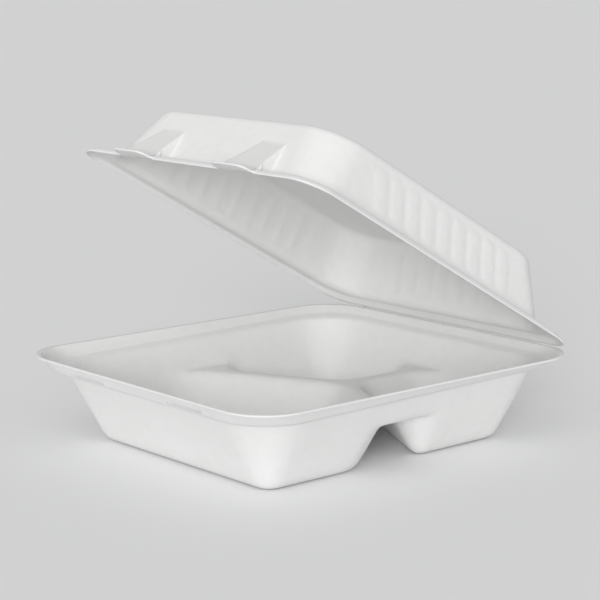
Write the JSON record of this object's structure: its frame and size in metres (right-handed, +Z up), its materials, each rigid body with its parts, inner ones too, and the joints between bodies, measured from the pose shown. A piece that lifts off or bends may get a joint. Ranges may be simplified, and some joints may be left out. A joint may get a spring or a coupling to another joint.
{
  "type": "hinged food container with compartments",
  "caption": "Moulded sugarcane-fibre food container: a stepped-rim tray divided into compartments and a fluted lid hinged along the back, with tongues that hook into slits in front.",
  "frame": {"origin": "on the table, under the middle of the container's plan", "axes": "+X to the right along the front edge, +Y from the front edge to the hinge, +Z up"},
  "size_m": [0.2032, 0.2287, 0.1764],
  "materials": {
    "moulded_fibre": "matte off-white pressed sugarcane fibre, smooth with a faint mesh and fibre grain"
  },
  "bodies": {
    "tray": {"base_tray": "moulded_fibre"},
    "cover": {"lid": "moulded_fibre"}
  },
  "joints": [
    {"name": "lid_hinge", "type": "hinge", "parent": "tray", "child": "cover", "pos_m": [0, 0.1145, 0.0478], "axis": [-1, 0, 0], "range_deg": [-29.2, 150.8]}
  ]
}
